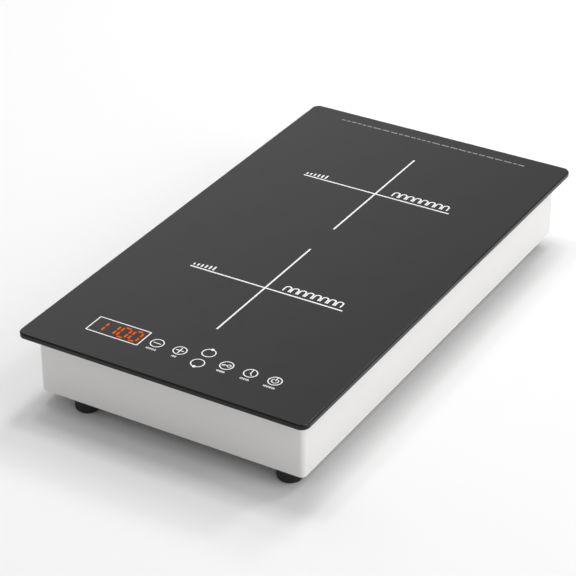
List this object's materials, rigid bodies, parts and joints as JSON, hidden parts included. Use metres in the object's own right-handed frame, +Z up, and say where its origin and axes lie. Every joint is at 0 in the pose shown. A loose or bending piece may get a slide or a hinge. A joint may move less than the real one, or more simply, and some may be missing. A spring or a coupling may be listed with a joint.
{
  "type": "induction cooktop",
  "caption": "Slim free-standing induction cooktop: black glass plate with printed touch panel over a light grey sheet-metal housing on rubber feet, cooking zones one behind the other.",
  "frame": {"origin": "middle of the footprint, on the plane that the four feet stand on", "axes": "+X to the right as seen from the control panel side, +Y from the control panel towards the rear, +Z up"},
  "size_m": [0.29, 0.52, 0.078],
  "materials": {
    "ceramic_glass": "opaque black ceramic glass, polished, white and orange printed marks",
    "seal_foam": "matt closed-cell strip",
    "housing_paint": "light grey satin powder coat",
    "base_paint": "light grey satin powder coat",
    "foot_rubber": "matt black moulded rubber",
    "screw_steel": "zinc-plated steel",
    "aluminium_sheet": "mill-finish sheet",
    "aluminium_extrusion": "extruded, lightly etched",
    "bobbin_plastic": "glass-filled natural moulding",
    "copper_winding": "enamelled stranded copper",
    "ferrite": "sintered, matt dark grey",
    "mica": "pressed mica sheet with faint flakes",
    "silicone": "soft grey silicone",
    "fan_plastic": "black moulded plastic",
    "black_plastic": "fine-grained black moulding",
    "circuit_board": "green solder-resist laminate",
    "capacitor_case": "red-brown potted plastic case",
    "display_lens": "smoked lens over lit digits"
  },
  "bodies": {
    "body": {"base_plate": "base_paint", "base_screw_1": "screw_steel", "base_screw_2": "screw_steel", "base_screw_3": "screw_steel", "base_screw_4": "screw_steel", "bridge_rectifier": "black_plastic", "coil_bobbin_front": "bobbin_plastic", "coil_bobbin_rear": "bobbin_plastic", "coil_bracket_front": "aluminium_sheet", "coil_bracket_rear": "aluminium_sheet", "coil_sensor_front": "silicone", "coil_sensor_rear": "silicone", "coil_winding_front": "copper_winding", "coil_winding_rear": "copper_winding", "control_board": "circuit_board", "control_bracket": "black_plastic", "cord_gland": "black_plastic", "display_module": "display_lens", "fan_frame_front": "fan_plastic", "fan_frame_rear": "fan_plastic", "ferrite_bar_front_1": "ferrite", "ferrite_bar_front_2": "ferrite", "ferrite_bar_front_3": "ferrite", "ferrite_bar_front_4": "ferrite", "ferrite_bar_rear_1": "ferrite", "ferrite_bar_rear_2": "ferrite", "ferrite_bar_rear_3": "ferrite", "ferrite_bar_rear_4": "ferrite", "filter_choke": "copper_winding", "foot_front_left": "foot_rubber", "foot_front_right": "foot_rubber", "foot_rear_left": "foot_rubber", "foot_rear_right": "foot_rubber", "foot_screw_front_left": "screw_steel", "foot_screw_front_right": "screw_steel", "foot_screw_rear_left": "screw_steel", "foot_screw_rear_right": "screw_steel", "glass_seal": "seal_foam", "glass_top": "ceramic_glass", "heatsink": "aluminium_extrusion", "housing_shell": "housing_paint", "mica_sheet_front": "mica", "mica_sheet_rear": "mica", "power_board": "circuit_board", "power_transistor_front": "black_plastic", "power_transistor_rear": "black_plastic", "resonance_capacitor_front": "capacitor_case", "resonance_capacitor_rear": "capacitor_case", "smoothing_capacitor": "capacitor_case", "terminal_block": "bobbin_plastic", "touch_pad_lock": "silicone", "touch_pad_minus": "silicone", "touch_pad_plus": "silicone", "touch_pad_power": "silicone", "touch_pad_timer": "silicone", "touch_pad_zone_front": "silicone", "touch_pad_zone_rear": "silicone"},
    "front_rotor": {"fan_rotor_front": "fan_plastic"},
    "rear_rotor": {"fan_rotor_rear": "fan_plastic"}
  },
  "joints": [
    {"name": "front_fan_spin", "type": "hinge", "parent": "body", "child": "front_rotor", "pos_m": [-0.078, -0.072, 0.024], "axis": [0, 0, 1], "continuous": true},
    {"name": "rear_fan_spin", "type": "hinge", "parent": "body", "child": "rear_rotor", "pos_m": [-0.078, 0.112, 0.024], "axis": [0, 0, 1], "continuous": true}
  ]
}
